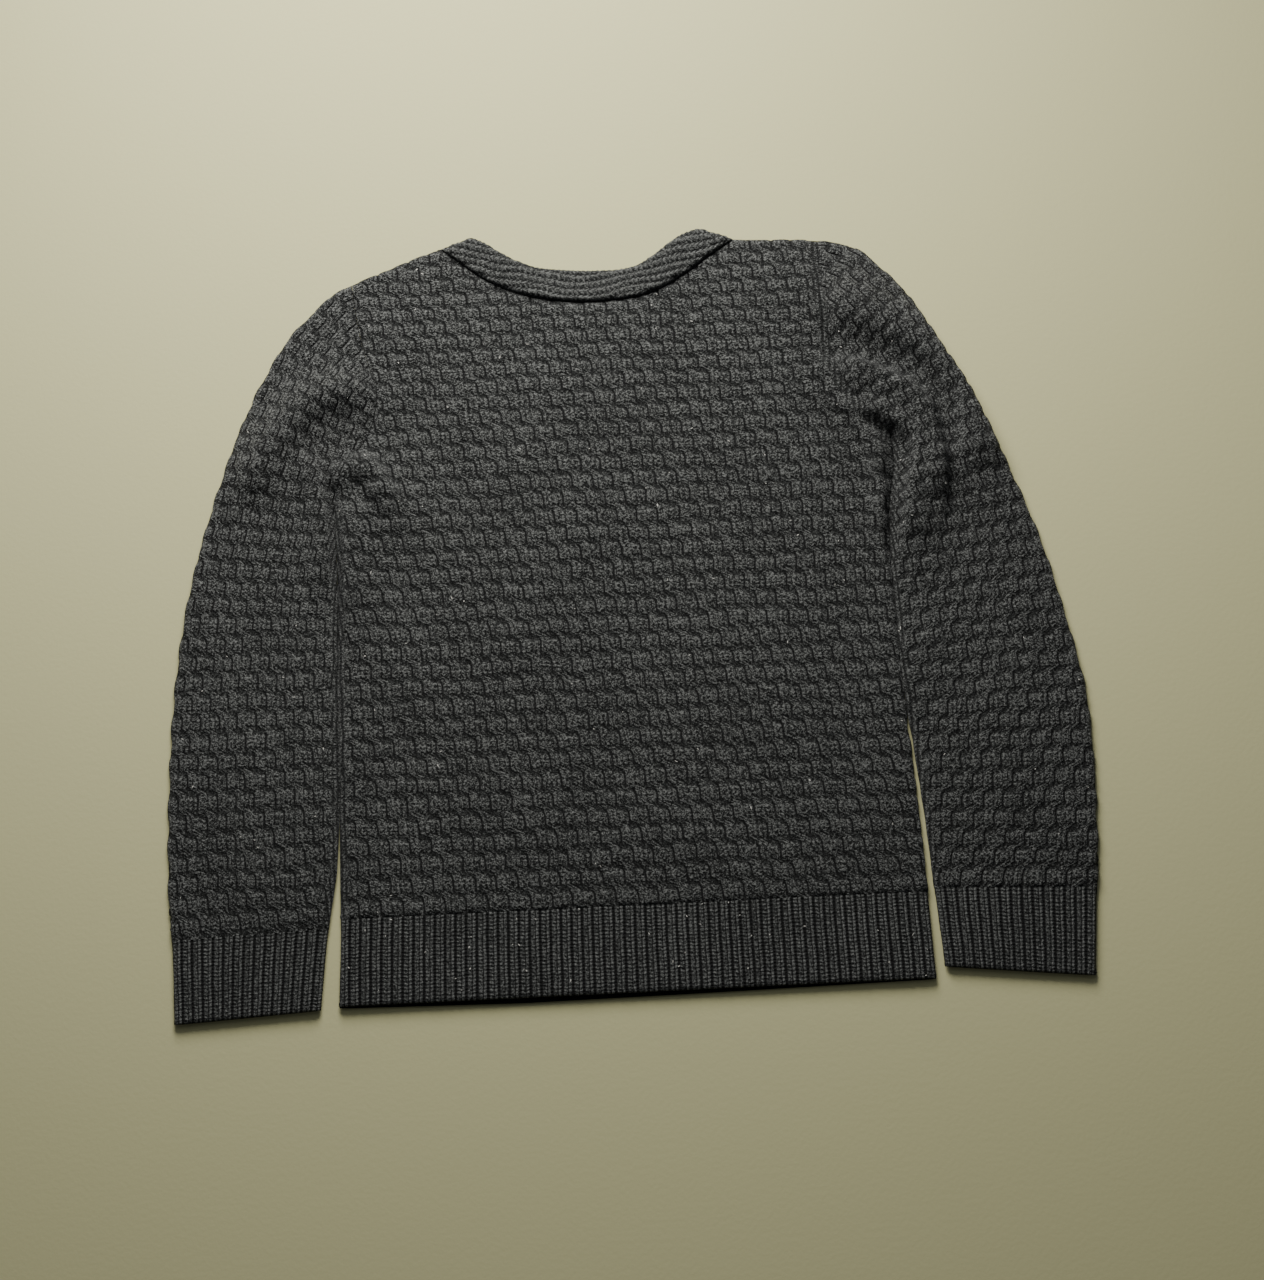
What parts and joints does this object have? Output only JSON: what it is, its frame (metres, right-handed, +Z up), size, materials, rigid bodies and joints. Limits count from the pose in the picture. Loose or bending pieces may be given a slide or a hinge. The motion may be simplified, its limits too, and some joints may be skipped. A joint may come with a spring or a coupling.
{
  "type": "henley sweater",
  "caption": "Long-sleeved wool henley pullover in an all-over small cable knit with ribbed hem, cuffs and neckband, lying flat with its back up and its buttoned placket underneath.",
  "frame": {"origin": "middle of the garment's footprint, on the surface it lies on", "axes": "+Z up from the surface, out of the garment's back; +Y from the hem to the neck; +X from the wearer's left sleeve to the right one"},
  "size_m": [0.75, 0.657, 0.0199],
  "materials": {
    "body_knit": "charcoal black wool yarn, matt and slightly hairy, in a small all-over cable knit",
    "rib_knit": "the same wool in 1x1 rib",
    "buttons": "dark horn-like plastic, satin"
  },
  "bodies": {
    "root": {"back": "body_knit", "front": "body_knit", "sleeve_left": "body_knit", "sleeve_right": "body_knit", "hem_back": "rib_knit", "hem_front": "rib_knit", "cuff_left": "rib_knit", "cuff_right": "rib_knit", "neckband_back": "rib_knit", "neckband_front_left": "rib_knit", "neckband_front_right": "rib_knit", "placket_buttonhole_band": "rib_knit", "placket_button_band": "rib_knit", "button_1": "buttons", "button_2": "buttons", "button_3": "buttons"}
  },
  "joints": []
}
